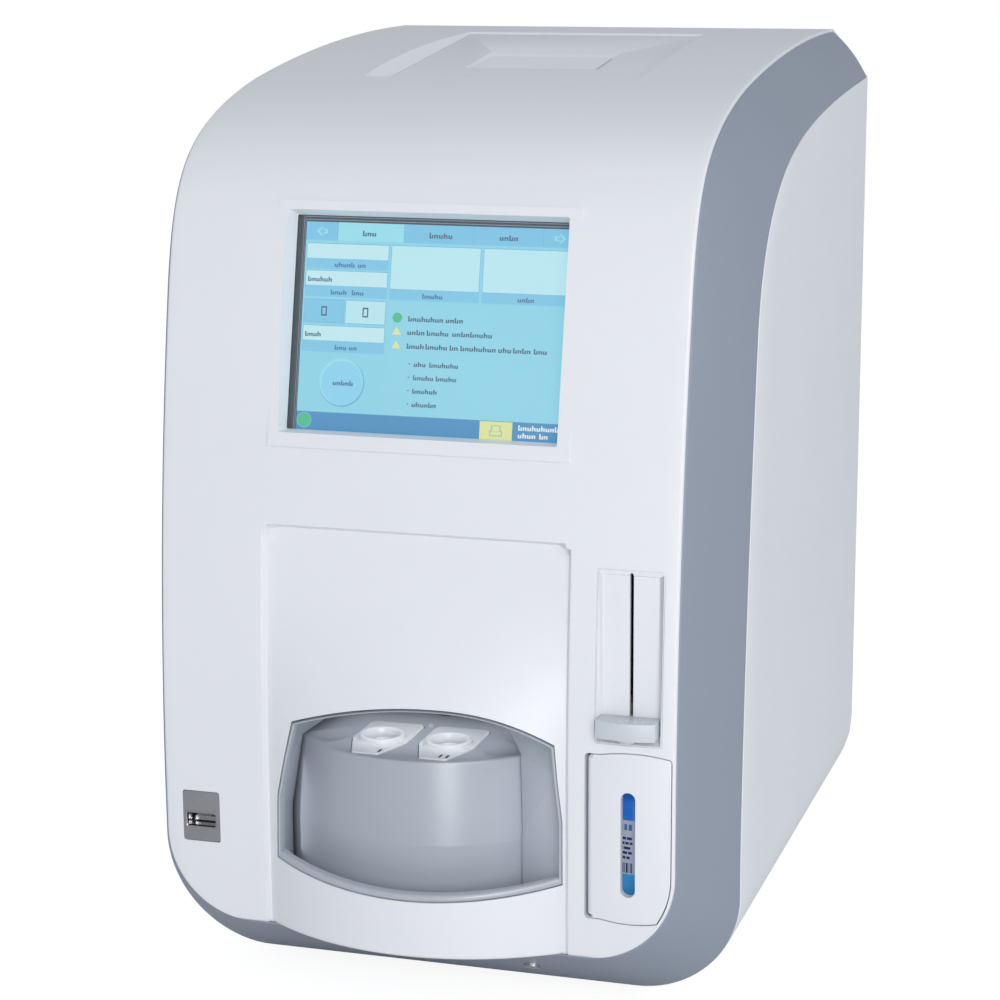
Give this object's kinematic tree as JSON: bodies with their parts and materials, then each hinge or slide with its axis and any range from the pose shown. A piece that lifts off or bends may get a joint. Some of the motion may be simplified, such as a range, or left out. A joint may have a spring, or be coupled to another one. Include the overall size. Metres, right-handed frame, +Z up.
{
  "type": "coagulation analyzer",
  "caption": "Hooded bench analyser with a sloping screen, a cassette carousel in a bulging apron, a reagent door with a lever over it and a printer in the roof.",
  "frame": {"origin": "middle of the footprint, on the floor under the feet", "axes": "+X to the right seen from the front, +Y to the back, +Z up"},
  "size_m": [0.2612, 0.34, 0.4035],
  "materials": {
    "white": "fine satin texture, cool white",
    "panel": "satin, slightly darker cool white",
    "grey": "satin blue-grey",
    "drum": "low-gloss grey",
    "knob": "pale grey satin",
    "cassette": "white, low gloss",
    "glass": "clear touch glass",
    "display": "lit colour display in a sheet-metal case",
    "steel": "bright",
    "sheet": "zinc-plated sheet",
    "aluminium": "milled",
    "black": "black, satin",
    "rubber": "matt",
    "blue": "blue, translucent, glossy",
    "paper": "smooth thermal paper",
    "board": "green lacquer",
    "nylon": "natural, satin"
  },
  "bodies": {
    "housing": {"front_hood": "white", "surround_band": "grey", "left_side_panel": "panel", "right_side_panel": "panel", "base_tray": "grey", "base_screw": "steel", "foot_front_left": "rubber", "foot_front_right": "rubber", "foot_rear_left": "rubber", "foot_rear_right": "rubber", "rear_panel": "panel", "touch_glass": "glass", "display_module": "display", "display_bracket": "sheet", "carousel_bezel": "drum", "bearing_housing": "aluminium", "drive_motor": "black", "incubator_block": "aluminium", "door_hinge_pin": "steel", "reagent_bay": "drum", "reagent_bottle": "blue", "bottle_cap": "white", "lever_track": "white", "guide_rod": "steel", "lid_hinge_pin": "steel", "printer_bucket": "grey", "print_head": "black", "usb_plate": "steel", "usb_socket": "steel", "inner_frame": "sheet", "main_board": "board", "power_supply": "sheet", "vacuum_pump": "black", "fan_frame": "black", "power_inlet": "black", "switch_housing": "black"},
    "carousel": {"carousel_drum": "drum", "carousel_shaft": "steel", "carousel_gear": "nylon"},
    "first_cassette": {"cassette_one": "cassette"},
    "second_cassette": {"cassette_two": "cassette"},
    "pinion": {"motor_pinion": "steel"},
    "door": {"reagent_door": "white"},
    "lever": {"lever_knob": "knob", "lever_carriage": "nylon", "sipper_tube": "steel"},
    "lid": {"printer_lid": "white", "paper_strip": "paper"},
    "platen": {"platen_roller": "black"},
    "roll": {"paper_roll": "paper"},
    "fan": {"fan_rotor": "black"},
    "rocker": {"power_rocker": "black"}
  },
  "joints": [
    {"name": "carousel_spin", "type": "hinge", "parent": "housing", "child": "carousel", "pos_m": [-0.0084, -0.0775, 0.112], "axis": [0, 0, 1], "continuous": true},
    {"name": "first_cassette_lift", "type": "slide", "parent": "carousel", "child": "first_cassette", "axis": [0, 0, 1], "range_m": [0, 0.006]},
    {"name": "second_cassette_lift", "type": "slide", "parent": "carousel", "child": "second_cassette", "axis": [0, 0, 1], "range_m": [0, 0.006]},
    {"name": "pinion_spin", "type": "hinge", "parent": "housing", "child": "pinion", "pos_m": [-0.0084, -0.0396, 0.04], "axis": [0, 0, 1], "continuous": true},
    {"name": "door_hinge", "type": "hinge", "parent": "housing", "child": "door", "pos_m": [0.0781, -0.1474, 0.0523], "axis": [0, 0, -1], "range_deg": [0, 95]},
    {"name": "lever_slide", "type": "slide", "parent": "housing", "child": "lever", "axis": [0, 0, 1], "range_m": [0, 0.057]},
    {"name": "lid_hinge", "type": "hinge", "parent": "housing", "child": "lid", "pos_m": [0, 0.1143, 0.39982], "axis": [-1, 0, 0], "range_deg": [0, 85]},
    {"name": "platen_spin", "type": "hinge", "parent": "lid", "child": "platen", "pos_m": [0, 0.02988, 0.38205], "axis": [1, 0, 0], "continuous": true},
    {"name": "roll_spin", "type": "hinge", "parent": "housing", "child": "roll", "pos_m": [0, 0.06061, 0.36249], "axis": [1, 0, 0], "continuous": true},
    {"name": "fan_spin", "type": "hinge", "parent": "housing", "child": "fan", "pos_m": [0.06, 0.154, 0.29], "axis": [0, 1, 0], "continuous": true},
    {"name": "rocker_tilt", "type": "hinge", "parent": "housing", "child": "rocker", "pos_m": [-0.075, 0.164, 0.098], "axis": [0, 0, 1], "range_deg": [0, 16]}
  ],
  "couplings": [
    {"joint": "pinion_spin", "follows": "carousel_spin", "ratio": -4}
  ]
}
